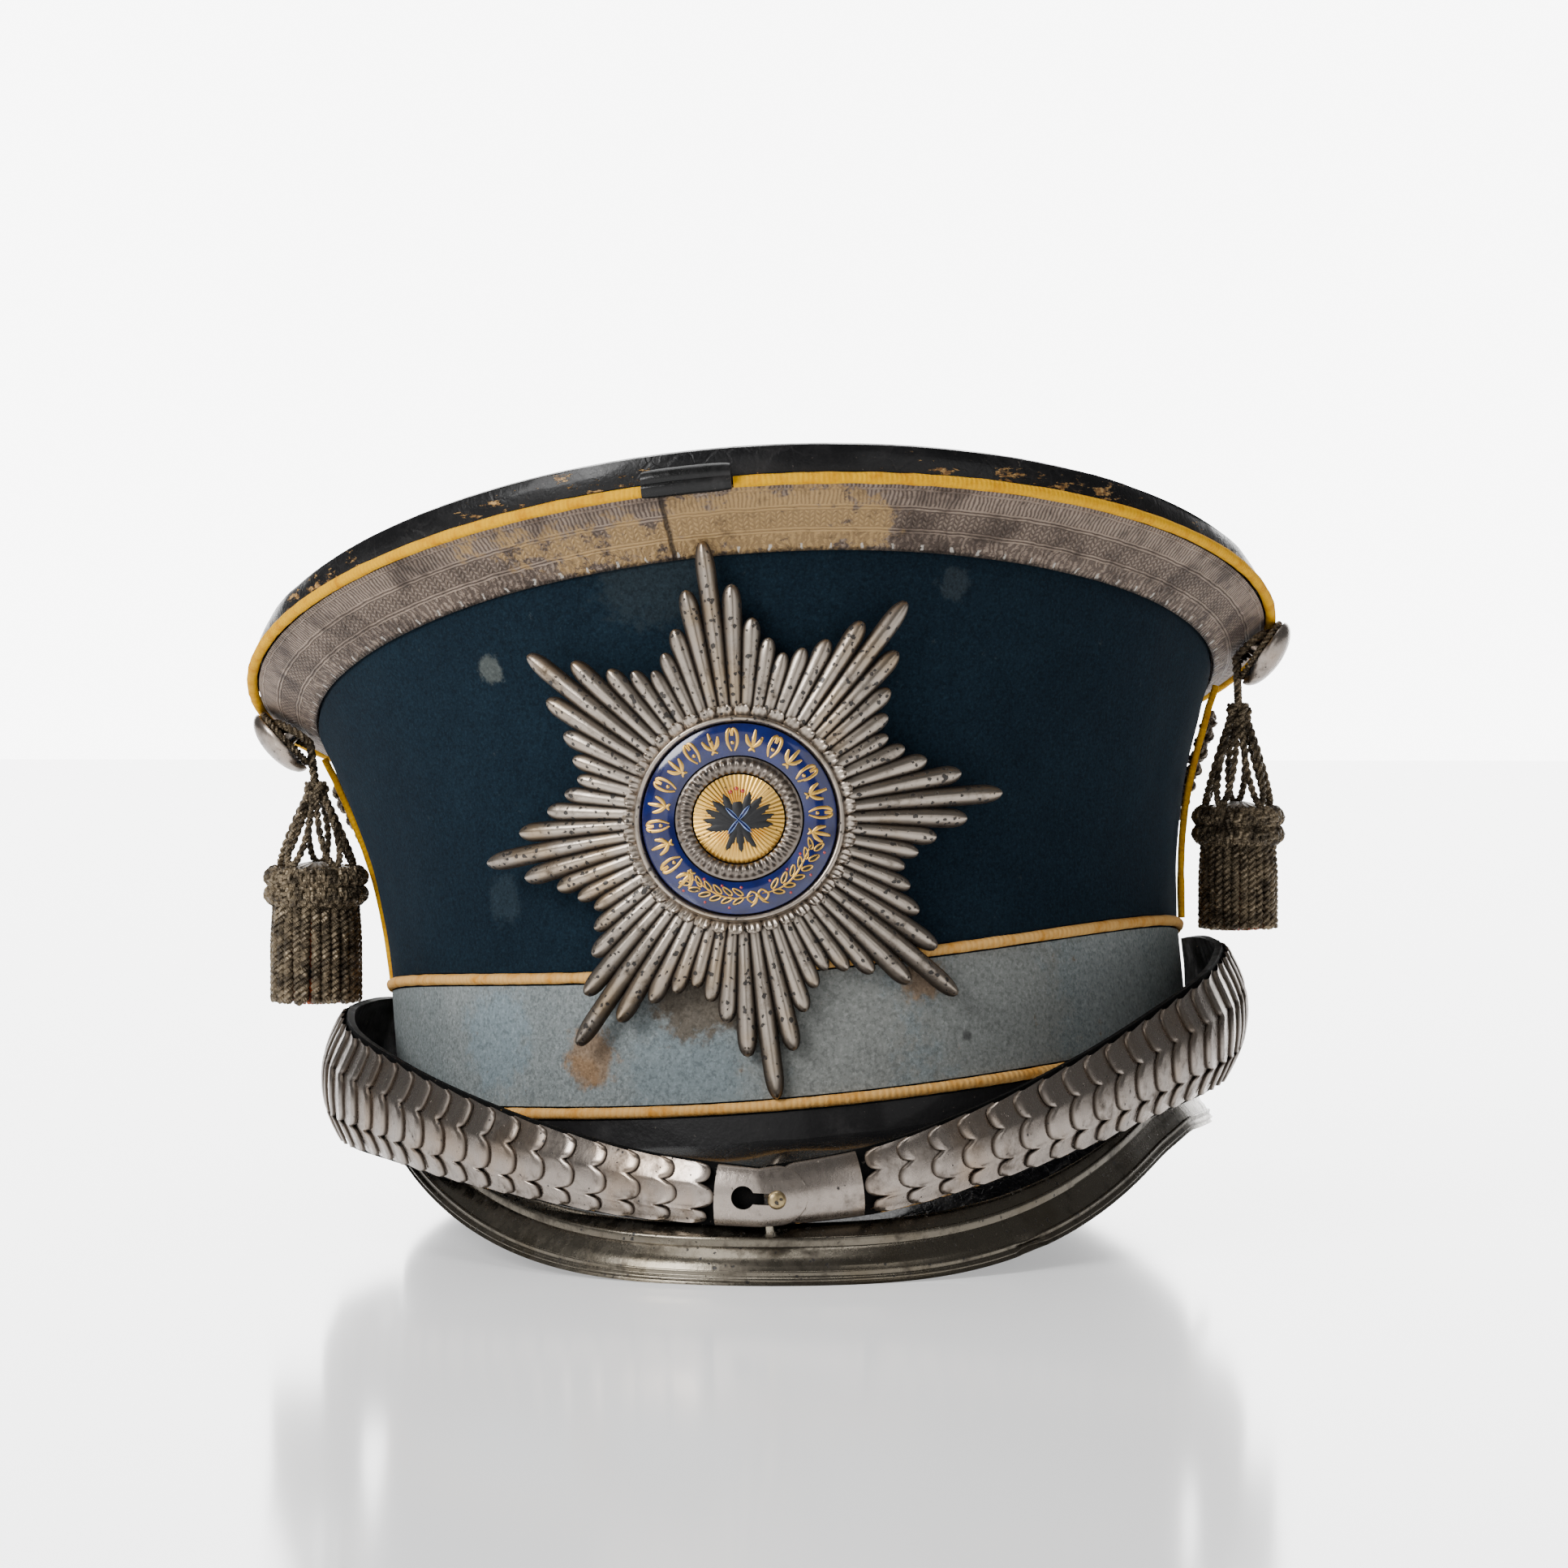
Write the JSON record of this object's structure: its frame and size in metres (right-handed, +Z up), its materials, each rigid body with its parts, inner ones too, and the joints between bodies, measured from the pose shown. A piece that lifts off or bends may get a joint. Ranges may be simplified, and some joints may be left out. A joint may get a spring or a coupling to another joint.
{
  "type": "shako hat",
  "caption": "Dress shako with a flared crown, bound visor, breast star, scaled chin strap and hanging corded tassels, standing on its visor and the back of its base.",
  "frame": {"origin": "on the surface that the hat stands on, under the middle of the hat's box", "axes": "+Z up, -Y towards the visor and the star, +X towards the wearer's left, which is the right side as the hat is looked at"},
  "size_m": [0.235, 0.2846, 0.1675],
  "materials": {
    "cloth": "dark navy wool cloth, worn and faintly spotted",
    "band_cloth": "pale grey blue wool cloth with stains",
    "piping_yellow": "bright yellow wool piping",
    "piping_ochre": "faded ochre wool piping",
    "lace": "tarnished metallic lace with ribbed borders",
    "leather": "black leather, semi gloss, rubbed",
    "patent_leather": "black patent leather, crazed",
    "silver": "tarnished silvered metal, satin",
    "scale_metal": "tarnished silvered metal, satin and spotted",
    "gold": "gilt metal",
    "brass": "dull brass",
    "enamel": "glossy dark blue enamel",
    "bullion": "tarnished silver bullion cord with dark and orange threads"
  },
  "bodies": {
    "root": {"crown_wall": "cloth", "base_strip": "leather", "hat_band": "band_cloth", "lace_band": "lace", "top_leather": "leather", "top_piping": "piping_yellow", "band_piping_upper": "piping_ochre", "band_piping_lower": "piping_ochre", "side_piping_left": "piping_yellow", "side_piping_right": "piping_yellow", "front_tab": "leather", "visor": "patent_leather", "visor_binding": "silver", "star_rays": "silver", "star_rosette": "silver", "enamel_ring": "enamel", "inner_ring": "silver", "centre_disc": "gold", "strap_leather_left": "leather", "strap_leather_right": "leather", "scales_left": "scale_metal", "scales_right": "scale_metal", "clasp_plate": "scale_metal", "clasp_tongue": "scale_metal", "clasp_stud": "brass", "strap_button_left": "scale_metal", "strap_button_right": "scale_metal", "boss_left": "scale_metal", "boss_right": "scale_metal", "tassel_left": "bullion", "tassel_right": "bullion", "back_braid": "bullion"}
  },
  "joints": []
}
